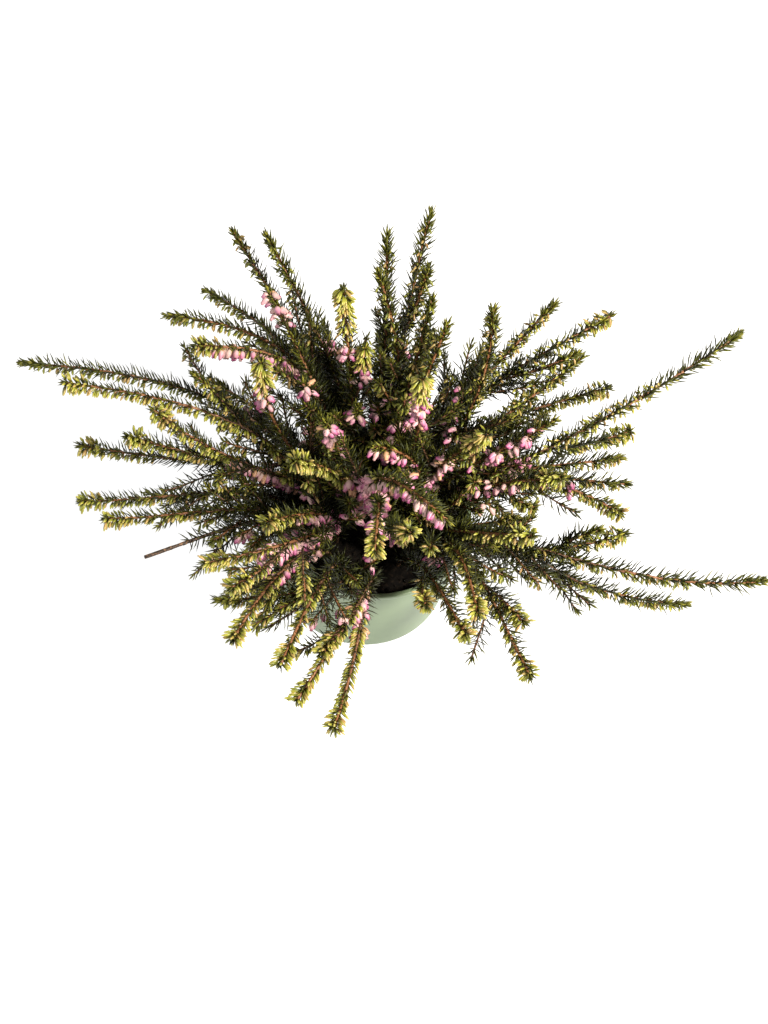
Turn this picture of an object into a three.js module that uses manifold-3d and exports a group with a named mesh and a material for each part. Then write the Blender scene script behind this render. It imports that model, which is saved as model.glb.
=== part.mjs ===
// A winter heath in a pale sage-green pot: the pot, its soil and the leafy, flowering shoots.
// Millimetres, +Z up. The origin is the middle of the pot's underside.
import * as THREE from 'three'
import Module from 'manifold-3d'

// Pot
const POT_HEIGHT = 80
const POT_BASE_RADIUS = 54
const POT_RIM_RADIUS = 60
const POT_WALL = 2.2
const POT_FLOOR = 3
const LIP_HEIGHT = 4
const LIP_OUT = 1
const GROOVE_DEPTH = 0.7
const POT_SEGMENTS = 36

// Soil
const SOIL_LEVEL = 70
const SOIL_GAP = 0.3
const HOLE_DEPTH = 9
const HOLE_GAP = 0.35
const HOLE_SIDES = 5

// Shoots
const STEM_RADIUS = 1.3
const CORE_RADIUS = 0.85
const CLUMP_RADIUS = 43
const CLUMP_POWER = 0.7
const WIDEST_LEAN = 80
const START_LEAN_SHARE = 0.2
const PULL = 0.42
const STEM_SIDES = 3
const BARE_SHARE = 0.18
const WHORL_BAND = 2.2
const WHORL_STEP = 17
const BLOOM_STEP = 13.5
const CROWDED_STEP = 8
const LAST_WHORL = 5
const NEEDLE_LENGTH = 7.8
const WIDE_SPREAD = 62
const NARROW_SPREAD = 36
const LOWEST_OVER_SOIL = 74
const LOWEST_OVER_RIM = 86
const CLEAR = 0.35
const NEAR = 26

// Flowers
const FLOWERS = {
  bell: { length: 6, radius: 1.7, bellyShare: 0.45 },
  bud: { length: 5.2, radius: 1.35, bellyShare: 0.62 },
}
const CROWDED = 3.5

// Each shoot: heading (degrees from +X), lean from upright, reach of its tip from the middle of the soil
// (mm), droop of its end (degrees), sideways bow (mm), how far its foot is turned from its heading (degrees),
// and where it bears bells and buds: from and to, as shares of its length, and how thickly.
const SHOOTS = [
  // left
  [176, 72, 226, 20, -16, 0, null, [0.4, 0.97, 1.2]],
  [-177, 62, 205, 22, -8, 0, null, [0.5, 0.98, 2.6]],
  [-173, 53, 163, -6, 13, -10, [0.22, 0.6, 2.4], [0.58, 0.98, 2.2]],
  [-176, 78, 180, 8, 2, 0, [0.25, 0.4, 2], [0.7, 0.98, 2]],
  [163, 53, 177, 29, -36, -4, null, [0.6, 0.98, 1.6]],
  [146, 61, 168, 22, -20, 0, [0.45, 0.58, 2], [0.8, 0.98, 1.2]],
  [171, 45, 163, 37, -35, -4, [0.48, 0.97, 2.6], [0.6, 0.98, 1]],
  [139, 49, 191, 4, -6, 0, null, [0.85, 0.98, 1.2]],
  [136, 41, 186, 4, -8, -4, null, [0.7, 0.98, 1]],
  [149, 33, 168, 2, 0, 0, [0.86, 1, 5], null],
  [175, 29, 152, -24, 16, 0, [0.64, 0.8, 4], [0.8, 1, 4]],
  [-166, 82, 175, 6, 0, 0, null, [0.38, 0.98, 2.2]],
  [-158, 75, 165, 8, 4, 0, null, [0.6, 0.98, 2.2]],
  [-147, 74, 150, 6, -5, 0, null, null],
  // front
  [-130, 56, 152, 47, 30, -29, [0.38, 0.76, 2.8], [0.72, 0.98, 2.4]],
  [-116, 69, 146, 14, -11, 2, [0.35, 0.62, 2.8], [0.6, 0.99, 3]],
  [-104, 71, 140, 10, -4, 0, null, [0.35, 0.98, 2.4]],
  [-98, 77, 147, 17, 10, 15, null, [0.3, 0.99, 3]],
  [-89, 79, 155, -10, 7, -1, [0.1, 0.35, 2.4], [0.3, 0.99, 3]],
  [-56, 63, 129, 6, 3, 2, null, [0.5, 0.98, 2]],
  [-54, 55, 139, 25, 17, 9, null, [0.4, 0.99, 2.8]],
  [-45, 74, 153, -5, 14, 19, null, [0.35, 0.98, 2.2]],
  [-86, 37, 150, 61, -1, 1, [0.45, 0.86, 2.8], [0.82, 1, 3.5]],
  [-62, 31, 166, 63, -33, 18, [0.35, 0.98, 2.4], [0.6, 0.9, 1]],
  [-71, 33, 130, 0, -3, 0, [0.35, 0.55, 2], [0.8, 0.99, 3.5]],
  [-129, 73, 125, 4, 24, 32, null, [0.55, 0.95, 1.4]],
  [-127, 43, 132, 18, 3, -1, [0.3, 0.55, 2], [0.6, 0.98, 2]],
  // right
  [-6, 76, 236, -6, -22, 0, null, [0.3, 0.8, 1.4]],
  [-9, 83, 195, -9, -13, -3, null, [0.25, 0.98, 1.8]],
  [-5, 67, 158, -12, -22, -7, null, [0.3, 0.98, 2.2]],
  [-28, 46, 140, 2, -8, 0, null, [0.6, 0.99, 2.8]],
  [6, 77, 151, 15, 25, 0, [0.42, 0.75, 2], [0.7, 0.98, 2.2]],
  [17, 70, 155, 6, 2, 0, [0.35, 0.5, 2], [0.6, 0.98, 1.5]],
  [26, 58, 243, 20, -32, -5, [0.25, 0.42, 2], [0.35, 0.7, 2]],
  [33, 66, 163, 10, 10, 2, null, [0.45, 0.98, 2.4]],
  [38, 55, 160, 0, -3, -1, null, [0.5, 0.95, 2]],
  [44, 60, 188, 4, 12, 4, null, [0.45, 0.98, 1.8]],
  [51, 49, 170, 2, 2, 0, [0.3, 0.45, 2], [0.45, 0.96, 2]],
  [55, 28, 163, -18, -23, 1, null, [0.7, 0.98, 1]],
  [64, 18, 155, 2, 0, -6, [0.45, 0.7, 2.4], [0.65, 0.95, 1.8]],
  // back and middle
  [80, 21, 160, 4, -2, 4, null, [0.7, 0.98, 1]],
  [90, 37, 190, 2, 3, 0, null, [0.5, 0.99, 2]],
  [103, 32, 180, 4, -3, 0, null, [0.6, 0.98, 1]],
  [109, 23, 169, -2, -20, -1, [0.5, 0.6, 2], [0.6, 0.85, 1.6]],
  [128, 22, 166, 0, 3, 6, [0.7, 0.83, 4], [0.82, 1, 4]],
  [16, 5, 151, -12, -11, -1, [0.62, 0.77, 4], [0.76, 1, 4]],
  [-10, 23, 140, 2, 3, 0, [0.35, 0.7, 2], [0.84, 1, 3.5]],
  [-104, 12, 119, 36, 34, 0, [0.8, 1, 2.4], null],
  [-136, 28, 135, 24, 7, 0, null, [0.55, 0.98, 3]],
  [-145, 17, 136, 0, 0, 0, [0.72, 0.97, 2.4], null],
  [9, 37, 150, -2, -2, -1, [0.5, 0.93, 2], [0.3, 0.5, 1.5]],
  [-4, 46, 140, 4, 3, 0, [0.3, 0.8, 1.8], [0.78, 0.98, 2]],
  // low at the back
  [64, 71, 122, 8, 3, 0, [0.4, 0.55, 2], [0.85, 0.99, 2]],
  [82, 62, 120, 10, 0, 0, [0.45, 0.6, 2], [0.6, 0.98, 2]],
  [99, 73, 118, 8, -3, 0, null, [0.75, 0.98, 1.2]],
  [118, 64, 122, 8, 3, 0, [0.6, 0.78, 2], null],
  [134, 76, 125, 8, 0, 0, null, [0.75, 0.98, 2.4]],
  [154, 76, 128, 8, -3, 0, [0.6, 0.75, 2], [0.75, 0.95, 1.5]],
]
const WOODY_SHOOT = 14
const WOODY_SHARE = 0.76

// Side shoots: number of the parent shoot, share of the way along it, then heading, lean and reach of the
// tip, bells and buds.
const SIDE_SHOOTS = [
  [3, 0.5, -170, 61, 165, null, [0.3, 0.98, 2.2]],
  [2, 0.45, 174, 49, 150, null, [0.3, 0.95, 3]],
  [15, 0.68, -119, 53, 164, null, [0.4, 0.98, 2.8]],
  [18, 0.5, -96, 72, 120, null, [0.3, 0.99, 3]],
  [20, 0.45, -64, 58, 107, null, [0.3, 0.99, 3.4]],
  [22, 0.5, -37, 71, 128, null, [0.25, 0.98, 2]],
  [30, 0.7, -10, 60, 150, null, [0.5, 0.95, 1]],
  [32, 0.5, 11, 72, 155, [0.3, 0.5, 2], [0.5, 0.98, 1.2]],
  [34, 0.45, 20, 65, 165, null, [0.3, 0.99, 2.4]],
  [37, 0.55, 38, 52, 160, null, [0.3, 0.98, 1.8]],
  [42, 0.6, 86, 24, 173, null, [0.35, 0.98, 2]],
  [45, 0.5, 120, 19, 129, [0.45, 0.75, 3.5], [0.74, 1, 4]],
  [45, 0.42, 148, 13, 101, [0.5, 0.98, 2.4], null],
]

const up = new THREE.Vector3(0, 0, 1)
const radians = THREE.MathUtils.degToRad

// A repeatable random number from 0 to 1
function randomSource(seed) {
  let state = seed * 7919 + 17
  return () => {
    state = (state * 16807) % 2147483647
    return state / 2147483647
  }
}

function headingVector(heading, lean) {
  const h = radians(heading)
  const l = radians(lean)
  return new THREE.Vector3(Math.cos(h) * Math.sin(l), Math.sin(h) * Math.sin(l), Math.cos(l))
}

function tipOf(heading, lean, reach) {
  return headingVector(heading, lean).multiplyScalar(reach).add(new THREE.Vector3(0, 0, SOIL_LEVEL))
}

function sideOf(heading) {
  return new THREE.Vector3(-Math.sin(radians(heading)), Math.cos(radians(heading)), 0)
}

// The closed skin of one body, built face by face
class Skin {
  constructor() {
    this.points = []
    this.faces = []
  }

  ring(corners) {
    return corners.map((p) => this.points.push(p) - 1)
  }

  // The four-cornered patch number k between two rings, its corners counter-clockwise from outside
  patch(low, high, k) {
    const next = (k + 1) % low.length
    return [low[k], low[next], high[next], high[k]]
  }

  // The two triangles of a patch: the one at its low edge and the one at its high edge
  halves(patch) {
    return [[patch[0], patch[1], patch[3]], [patch[1], patch[2], patch[3]]]
  }

  flat(patch) {
    this.faces.push(...this.halves(patch))
  }

  tube(low, high) {
    low.forEach((_, k) => this.flat(this.patch(low, high, k)))
  }

  // Closes a ring with a point
  spike(ring, tip) {
    const apex = this.points.push(tip) - 1
    ring.forEach((p, k) => this.faces.push([p, ring[(k + 1) % ring.length], apex]))
  }

  middle(ring) {
    const sum = new THREE.Vector3()
    ring.forEach((p) => sum.add(this.points[p]))
    return sum.divideScalar(ring.length)
  }

  // A ring like the given patch, at a distance along a direction, with its corners at a new radius
  swell(patch, direction, distance, radius) {
    const centre = this.middle(patch)
    return this.ring(patch.map((p) => {
      const offset = this.points[p].clone().sub(centre)
      offset.addScaledVector(direction, -offset.dot(direction)).setLength(radius)
      return offset.add(centre).addScaledVector(direction, distance)
    }))
  }

  geometry() {
    const built = new THREE.BufferGeometry()
    const places = this.points.flatMap((p) => p.toArray())
    built.setAttribute('position', new THREE.Float32BufferAttribute(places, 3))
    built.setIndex(this.faces.flat())
    built.computeVertexNormals()
    return built
  }
}

// What takes up room: short rods with a radius, each marked with the arm it belongs to
const taken = []

function rodDistance(a, b, c, d) {
  const u = b.clone().sub(a)
  const v = d.clone().sub(c)
  const w = a.clone().sub(c)
  const uu = u.dot(u)
  const uv = u.dot(v)
  const vv = v.dot(v)
  const uw = u.dot(w)
  const vw = v.dot(w)
  const clamp = (x) => Math.min(1, Math.max(0, x))
  const slack = uu * vv - uv * uv
  let s = slack > 1e-9 ? clamp((uv * vw - vv * uw) / slack) : 0
  const t = clamp((uv * s + vw) / vv)
  s = clamp((uv * t - uw) / uu)
  return w.addScaledVector(u, s).addScaledVector(v, -t).length()
}

function isFree(from, to, radius, arm) {
  const overSoil = Math.hypot(to.x, to.y) < POT_RIM_RADIUS - 12
  if (to.z < (overSoil ? LOWEST_OVER_SOIL : LOWEST_OVER_RIM)) return false
  return taken.every((rod) => {
    if (rod.arm === arm || rod.from.distanceTo(from) > NEAR) return true
    return rodDistance(from, to, rod.from, rod.to) > radius + rod.radius + CLEAR
  })
}

// Where an arm runs: a curve with a sideways vector that frames its rings
function mainPath(row) {
  const [heading, lean, reach, droop, bow, footTurn] = row
  const footRadius = CLUMP_RADIUS * (lean / WIDEST_LEAN) ** CLUMP_POWER
  const start = headingVector(heading + footTurn, 90).multiplyScalar(footRadius)
  start.z = SOIL_LEVEL + 1.5
  const tip = tipOf(heading, lean, reach)
  const pull = start.distanceTo(tip) * PULL
  const side = sideOf(heading)
  const first = headingVector(heading, lean * START_LEAN_SHARE).multiplyScalar(pull).add(start)
  const last = tip.clone().addScaledVector(headingVector(heading, lean + droop), -pull)
  first.addScaledVector(side, bow)
  last.addScaledVector(side, bow)
  return { curve: new THREE.CubicBezierCurve3(start, first, last, tip), side }
}

function sidePath(row, parent) {
  const [, share, heading, lean, reach] = row
  const start = parent.curve.getPointAt(share)
  const tip = tipOf(heading, lean, reach)
  const span = start.distanceTo(tip)
  const straight = tip.clone().sub(start).normalize()
  const ahead = parent.curve.getTangentAt(share)
  const away = straight.clone().addScaledVector(ahead, -0.7).normalize()
  const first = start.clone().addScaledVector(away, span * 0.12).addScaledVector(straight, span * 0.2)
  const last = tip.clone().addScaledVector(straight.clone().add(ahead).normalize(), -span * 0.3)
  return { curve: new THREE.CubicBezierCurve3(start, first, last, tip), side: sideOf(heading) }
}

function frameAt(path, distance) {
  const share = Math.min(1, distance / path.length)
  const centre = path.curve.getPointAt(share)
  const ahead = path.curve.getTangentAt(share)
  const side = path.side.clone().addScaledVector(ahead, -path.side.dot(ahead)).normalize()
  return { centre, ahead, side, top: ahead.clone().cross(side) }
}

function ringAt(frame, radius, turn) {
  return [...Array(STEM_SIDES).keys()].map((k) => {
    const angle = turn + (k * 2 * Math.PI) / STEM_SIDES
    return frame.centre.clone()
      .addScaledVector(frame.side, Math.cos(angle) * radius)
      .addScaledVector(frame.top, Math.sin(angle) * radius)
  })
}

function stemRadius(path, distance) {
  return THREE.MathUtils.lerp(path.radius, CORE_RADIUS, Math.min(1, distance / path.bare))
}

// The distances at which whorls grow: closer together where the shoot flowers, and the last one at the tip
function whorlDistances(path) {
  const distances = []
  let d = path.bare
  while (d < path.length - LAST_WHORL) {
    distances.push(d)
    const zone = bloomAt(path, d)
    if (!zone) d += WHORL_STEP
    else d += zone.thickness < CROWDED ? BLOOM_STEP : CROWDED_STEP
  }
  const stretch = (path.length - LAST_WHORL - path.bare) / (distances.at(-1) - path.bare)
  return distances.map((x) => path.bare + (x - path.bare) * stretch)
}

// What a shoot bears at a distance along it, if anything
function bloomAt(path, distance) {
  const share = distance / path.length
  for (const kind of ['bud', 'bell']) {
    const [from, to, thickness] = path.zones[kind] ?? [1, 0, 0]
    if (share > from && share <= to) return { kind, thickness }
  }
  return null
}

// Raises one of the two halves of a patch to a needle; the low one stands wide, the high one leans forward
function growNeedle(skin, patch, half, frame, path, distance, random) {
  const base = skin.halves(patch)[half]
  const root = skin.middle(base)
  const nearTip = THREE.MathUtils.smoothstep(distance / path.length, 0.85, 1)
  const widest = half === 0 ? WIDE_SPREAD : NARROW_SPREAD
  const spread = radians(widest * (1 - 0.35 * nearTip) + (random() - 0.5) * 14)
  const out = outwards(skin.middle(patch), frame)
  out.applyAxisAngle(frame.ahead, ((half === 0 ? -0.5 : 0.5) * Math.PI) / STEM_SIDES)
  const way = out.multiplyScalar(Math.sin(spread)).addScaledVector(frame.ahead, Math.cos(spread))
  for (const share of [1, 0.75]) {
    const tip = root.clone().addScaledVector(way, NEEDLE_LENGTH * share * (0.88 + random() * 0.2))
    if (isFree(root, tip, 0.4, path.arm)) {
      taken.push({ from: root, to: tip, radius: 0.4, arm: path.arm })
      skin.spike(base, tip)
      return
    }
  }
  skin.faces.push(base)
}

// The unit vector from the middle of a stem to a point on its skin
function outwards(point, frame) {
  const out = point.clone().sub(frame.centre)
  return out.addScaledVector(frame.ahead, -out.dot(frame.ahead)).normalize()
}

function growFlower(skin, patch, frame, path, kind, random) {
  const root = skin.middle(patch)
  const way = outwards(root, frame)
  way.addScaledVector(frame.ahead, 0.45 + random() * 0.3).addScaledVector(up, -0.25).normalize()
  const { length, radius, bellyShare } = FLOWERS[kind]
  const tip = root.clone().addScaledVector(way, length)
  if (!isFree(root, tip, radius, path.arm)) {
    skin.flat(patch)
    return
  }
  taken.push({ from: root, to: tip, radius, arm: path.arm })
  const belly = skin.swell(patch, way, length * bellyShare, radius)
  skin.tube(patch, belly)
  if (kind === 'bell') {
    const mouth = skin.swell(belly, way, length * 0.5, radius * 0.7)
    skin.tube(belly, mouth)
    skin.flat(mouth)
  } else {
    skin.spike(belly, tip)
  }
}

// Grows an arm out of a ring, side shoots with it
function growArm(skin, ring, path, turn, random) {
  const bareShares = path.isSide ? [0.6] : [0.35, 0.7]
  let last = ring
  let angle = turn
  for (const share of bareShares) {
    const distance = path.bare * share
    const next = skin.ring(ringAt(frameAt(path, distance), stemRadius(path, distance), angle))
    skin.tube(last, next)
    last = next
  }
  const distances = whorlDistances(path)
  const forks = path.forks.map((fork) => ({ fork, whorl: nearest(distances, fork.share * path.length) }))
  distances.forEach((distance, n) => {
    angle += Math.PI / STEM_SIDES
    const frame = frameAt(path, distance)
    const radius = stemRadius(path, distance)
    const low = skin.ring(ringAt(frame, radius, angle))
    const high = skin.ring(ringAt(frameAt(path, distance + WHORL_BAND), radius, angle))
    skin.tube(last, low)
    const grown = forks.find(({ whorl }) => whorl === n)
    const forkSide = grown ? sideTowards(frame, angle, grown.fork.curve.getPointAt(0.4)) : -1
    for (let k = 0; k < STEM_SIDES; k += 1) {
      const patch = skin.patch(low, high, k)
      if (k === forkSide) {
        growFork(skin, patch, grown.fork, random)
      } else {
        growPatch(skin, patch, frame, path, distance, random)
      }
    }
    last = high
  })
  skin.spike(last, path.curve.getPointAt(1))
}

// What one side of a whorl carries: a flower underneath where the shoot blooms, or all round where it is
// crowded, else two needles
function growPatch(skin, patch, frame, path, distance, random) {
  const zone = bloomAt(path, distance)
  const isUnder = outwards(skin.middle(patch), frame).dot(frame.top) < -0.3
  if (path.isWoody && distance > path.length * WOODY_SHARE) {
    skin.flat(patch)
  } else if (zone && (isUnder || zone.thickness >= CROWDED)) {
    growFlower(skin, patch, frame, path, zone.kind, random)
  } else {
    growNeedle(skin, patch, 0, frame, path, distance, random)
    growNeedle(skin, patch, 1, frame, path, distance, random)
  }
}

function nearest(values, wanted) {
  let best = 0
  values.forEach((value, n) => {
    if (Math.abs(value - wanted) < Math.abs(values[best] - wanted)) best = n
  })
  return best
}

// Which side of a ring faces a point
function sideTowards(frame, turn, point) {
  const away = point.clone().sub(frame.centre)
  const angle = Math.atan2(away.dot(frame.top), away.dot(frame.side)) - turn
  const side = Math.floor((angle * STEM_SIDES) / (2 * Math.PI))
  return ((side % STEM_SIDES) + STEM_SIDES) % STEM_SIDES
}

// A side shoot starts as the raised high half of a patch of its parent
function growFork(skin, patch, path, random) {
  const [lowHalf, highHalf] = skin.halves(patch)
  skin.faces.push(lowHalf)
  const distance = path.bare * 0.3
  const frame = frameAt(path, distance)
  const first = skin.points[highHalf[0]].clone().sub(skin.middle(highHalf))
  const turn = Math.atan2(first.dot(frame.top), first.dot(frame.side))
  const ring = skin.ring(ringAt(frame, stemRadius(path, distance), turn))
  skin.tube(highHalf, ring)
  growArm(skin, ring, path, turn, random)
}

function buildShoot(path, seed) {
  const skin = new Skin()
  const start = path.curve.getPointAt(0)
  const upright = { centre: start, side: path.side, top: up.clone().cross(path.side) }
  const foot = { ...upright, centre: new THREE.Vector3(start.x, start.y, SOIL_LEVEL - HOLE_DEPTH + 0.3) }
  const collar = { ...upright, centre: new THREE.Vector3(start.x, start.y, SOIL_LEVEL) }
  const footRing = skin.ring(ringAt(foot, STEM_RADIUS, 0))
  const collarRing = skin.ring(ringAt(collar, STEM_RADIUS, 0))
  skin.faces.push([...footRing].reverse())
  skin.tube(footRing, collarRing)
  growArm(skin, collarRing, path, 0, randomSource(seed))
  return skin.geometry()
}

function potGeometry() {
  const lipBottom = POT_HEIGHT - LIP_HEIGHT
  const taper = (z) => THREE.MathUtils.lerp(POT_BASE_RADIUS, POT_RIM_RADIUS - LIP_OUT, z / POT_HEIGHT)
  const profile = [
    [0, 0],
    [POT_BASE_RADIUS - 2, 0],
    [POT_BASE_RADIUS, 2],
    [taper(lipBottom - 1.5), lipBottom - 1.5],
    [taper(lipBottom) - GROOVE_DEPTH, lipBottom - 0.4],
    [POT_RIM_RADIUS, lipBottom + 0.8],
    [POT_RIM_RADIUS, POT_HEIGHT - 0.9],
    [POT_RIM_RADIUS - 1, POT_HEIGHT],
    [POT_RIM_RADIUS - LIP_OUT - POT_WALL + 0.6, POT_HEIGHT],
    [taper(POT_HEIGHT) - POT_WALL, POT_HEIGHT - 1],
    [taper(POT_FLOOR) - POT_WALL, POT_FLOOR],
    [0, POT_FLOOR],
  ]
  const lathe = new THREE.LatheGeometry(profile.map(([r, z]) => new THREE.Vector2(r, z)), POT_SEGMENTS)
  return lathe.rotateX(Math.PI / 2)
}

// The pot's inner radius at a height
function innerRadius(z) {
  return THREE.MathUtils.lerp(POT_BASE_RADIUS, POT_RIM_RADIUS - LIP_OUT, z / POT_HEIGHT) - POT_WALL
}

function soilGeometry(paths) {
  const bottom = POT_FLOOR + SOIL_GAP
  const roundness = Math.cos(Math.PI / POT_SEGMENTS)
  const profile = [
    [0, bottom],
    [innerRadius(bottom) - SOIL_GAP, bottom],
    [innerRadius(SOIL_LEVEL) - SOIL_GAP, SOIL_LEVEL],
    [0, SOIL_LEVEL],
  ]
  const block = new THREE.LatheGeometry(
    profile.map(([r, z]) => new THREE.Vector2(r * roundness, z)), POT_SEGMENTS).rotateX(Math.PI / 2)
  let soil = solidOf(block)
  const holeRadius = (STEM_RADIUS + HOLE_GAP) / Math.cos(Math.PI / HOLE_SIDES)
  for (const path of paths) {
    const start = path.curve.getPointAt(0)
    const hole = new THREE.CylinderGeometry(holeRadius, holeRadius, HOLE_DEPTH * 2, HOLE_SIDES)
    hole.rotateX(Math.PI / 2).translate(start.x, start.y, SOIL_LEVEL)
    soil = soil.subtract(solidOf(hole))
  }
  return geometryOf(soil)
}

const wasm = await Module()
wasm.setup()

// A manifold-3d solid of a closed geometry, with the points that lie together made one
function solidOf(geometry) {
  const position = geometry.getAttribute('position')
  const order = geometry.index ? Array.from(geometry.index.array) : [...Array(position.count).keys()]
  const known = new Map()
  const points = []
  const numberOf = (n) => {
    const p = [position.getX(n), position.getY(n), position.getZ(n)]
    const key = p.map((x) => Math.round(x * 1000) + 0).join()
    if (!known.has(key)) {
      known.set(key, points.length / 3)
      points.push(...p)
    }
    return known.get(key)
  }
  const corners = order.map(numberOf)
  const triangles = []
  for (let n = 0; n < corners.length; n += 3) {
    const [a, b, c] = corners.slice(n, n + 3)
    if (a !== b && b !== c && c !== a) triangles.push(a, b, c)
  }
  const mesh = new wasm.Mesh({
    numProp: 3,
    vertProperties: new Float32Array(points),
    triVerts: new Uint32Array(triangles),
  })
  return new wasm.Manifold(mesh)
}

function geometryOf(solid) {
  const mesh = solid.getMesh()
  const built = new THREE.BufferGeometry()
  built.setAttribute('position', new THREE.BufferAttribute(mesh.vertProperties, mesh.numProp))
  built.setIndex(new THREE.BufferAttribute(mesh.triVerts, 1))
  return built
}

// The paths of all the arms, and the room that their stems take
const paths = SHOOTS.map((row, n) => ({
  ...mainPath(row),
  zones: { bell: row[6], bud: row[7] },
  radius: STEM_RADIUS,
  arm: n,
  forks: [],
  isSide: false,
  isWoody: n + 1 === WOODY_SHOOT,
}))

SIDE_SHOOTS.forEach((row, n) => {
  const parent = paths[row[0] - 1]
  parent.forks.push({
    ...sidePath(row, parent),
    zones: { bell: row[5], bud: row[6] },
    radius: CORE_RADIUS,
    arm: SHOOTS.length + n,
    forks: [],
    share: row[1],
    isSide: true,
    isWoody: false,
  })
})

for (const path of paths.flatMap((p) => [p, ...p.forks])) {
  path.length = path.curve.getLength()
  path.bare = path.isSide ? 10 : path.length * BARE_SHARE
  const points = path.curve.getSpacedPoints(24)
  for (let n = path.isSide ? 2 : 0; n < 24; n += 1) {
    taken.push({ from: points[n], to: points[n + 1], radius: 1, arm: path.arm })
  }
}

const plant = new THREE.Group()

function addPart(name, geometry, colour, roughness) {
  const material = new THREE.MeshStandardMaterial({ color: colour, roughness })
  material.name = `${name.replace(/_\d+$/, '')}_colour`
  const mesh = new THREE.Mesh(geometry, material)
  mesh.name = name
  plant.add(mesh)
}

addPart('pot', geometryOf(solidOf(potGeometry())), '#a3b58c', 0.45)
addPart('soil', soilGeometry(paths), '#2e241c', 0.95)
paths.forEach((path, n) => {
  addPart(`shoot_${String(n + 1).padStart(2, '0')}`, buildShoot(path, n + 1), '#46603a', 0.7)
})

export default plant
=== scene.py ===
import math
import bpy
import numpy as np
from mathutils import Matrix, Vector


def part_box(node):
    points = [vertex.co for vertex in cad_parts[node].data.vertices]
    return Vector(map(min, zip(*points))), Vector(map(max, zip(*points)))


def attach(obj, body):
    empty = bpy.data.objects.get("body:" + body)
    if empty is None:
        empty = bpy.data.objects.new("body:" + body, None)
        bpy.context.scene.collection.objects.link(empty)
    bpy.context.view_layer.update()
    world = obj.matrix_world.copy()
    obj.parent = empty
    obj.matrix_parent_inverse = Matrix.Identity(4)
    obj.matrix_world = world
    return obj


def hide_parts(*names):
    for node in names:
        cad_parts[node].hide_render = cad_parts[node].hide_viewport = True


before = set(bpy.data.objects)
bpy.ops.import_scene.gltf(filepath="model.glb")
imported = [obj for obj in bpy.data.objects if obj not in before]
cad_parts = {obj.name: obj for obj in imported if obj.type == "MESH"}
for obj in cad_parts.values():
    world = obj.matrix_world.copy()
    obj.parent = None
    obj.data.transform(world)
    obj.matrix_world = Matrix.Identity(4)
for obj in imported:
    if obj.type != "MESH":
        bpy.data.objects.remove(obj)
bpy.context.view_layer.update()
mm = 0.001
up = np.array([0.0, 0.0, 1.0])
potHigh = np.array(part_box("pot")[1]) / mm  # millimetres from here on
soilLow, soilHigh = (np.array(corner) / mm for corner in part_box("soil"))
soilLevel = soilHigh[2]

# Camera: looks down on the plant, a little rolled, as the photograph was taken
view = {
    "elevation": 60,  # degrees above the horizon
    "roll": 11.2,  # degrees
    "target": (7.0, -23.9, 120.0),  # millimetres
    "distance": 900,
    "focalPixels": 1570,
    "framePixels": 1024,  # the photograph's longer side
    "sensor": 36,
    "farEnd": 20,  # metres
}


def placeCamera():
    lift = math.radians(view["elevation"])
    roll = math.radians(view["roll"])
    forward = Vector((0, math.cos(lift), -math.sin(lift)))
    across = Vector((1, 0, 0))
    upward = across.cross(forward)
    right = across * math.cos(roll) + upward * math.sin(roll)
    top = upward * math.cos(roll) - across * math.sin(roll)
    lens = bpy.data.cameras.new("studioCamera")
    lens.sensor_width = view["sensor"]
    lens.lens = view["focalPixels"] * view["sensor"] / view["framePixels"]
    lens.clip_end = view["farEnd"]
    camera = bpy.data.objects.new("studioCamera", lens)
    place = (Vector(view["target"]) - forward * view["distance"]) * mm
    turn = Matrix((right, top, -forward)).transposed().to_4x4()
    camera.matrix_world = Matrix.Translation(place) @ turn
    bpy.context.scene.collection.objects.link(camera)
    bpy.context.scene.camera = camera


placeCamera()
print("camera placed")

# Light: a small warm key from the right, a wide cool fill from the left and a soft even room
studio = {
    "aim": (0, 0, 0.1),  # metres
    "keyPlace": (0.75, -0.4, 1.1),
    "keySize": 0.35,
    "keyPower": 35.5,
    "keyColour": (1.0, 0.95, 0.87),
    "fillPlace": (-0.9, -0.7, 0.9),
    "fillSize": 1.2,
    "fillPower": 3,
    "fillColour": (0.86, 0.93, 1.0),
    "roomColour": (1.0, 0.98, 0.95),
    "roomStrength": 0.38,
    "floorColour": (0.4, 0.4, 0.4),
    "floorRoughness": 0.9,
    "floorGlow": 0.88,
    "floorSize": 6,
}


def addLight(name):
    lamp = bpy.data.lights.new(name + "Light", "AREA")
    lamp.shape = "DISK"
    lamp.size = studio[name + "Size"]
    lamp.energy = studio[name + "Power"]
    lamp.color = studio[name + "Colour"]
    light = bpy.data.objects.new(name + "Light", lamp)
    light.location = studio[name + "Place"]
    aim = Vector(studio["aim"]) - light.location
    light.rotation_euler = aim.to_track_quat("-Z", "Y").to_euler()
    bpy.context.scene.collection.objects.link(light)


def lightStudio():
    addLight("key")
    addLight("fill")
    room = bpy.data.worlds.new("studioRoom")
    room.use_nodes = True
    sky = room.node_tree.nodes["Background"]
    sky.inputs["Color"].default_value = (*studio["roomColour"], 1)
    sky.inputs["Strength"].default_value = studio["roomStrength"]
    bpy.context.scene.world = room
    bpy.context.scene.view_settings.view_transform = "Standard"


lightStudio()
print("studio lit")


# Finishes. The leafy ones read values that the mesh carries: tone is a draw for each leaf or flower, young
# runs from old wood to fresh growth, and along runs from root to tip of each leaf or flower.
def colour(shade):  # red, green and blue from 0 to 255 to the shader's linear values
    parts = [value / 255 for value in shade]
    return tuple(v / 12.92 if v <= 0.04045 else ((v + 0.055) / 1.055) ** 2.4 for v in parts) + (1.0,)


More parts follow.
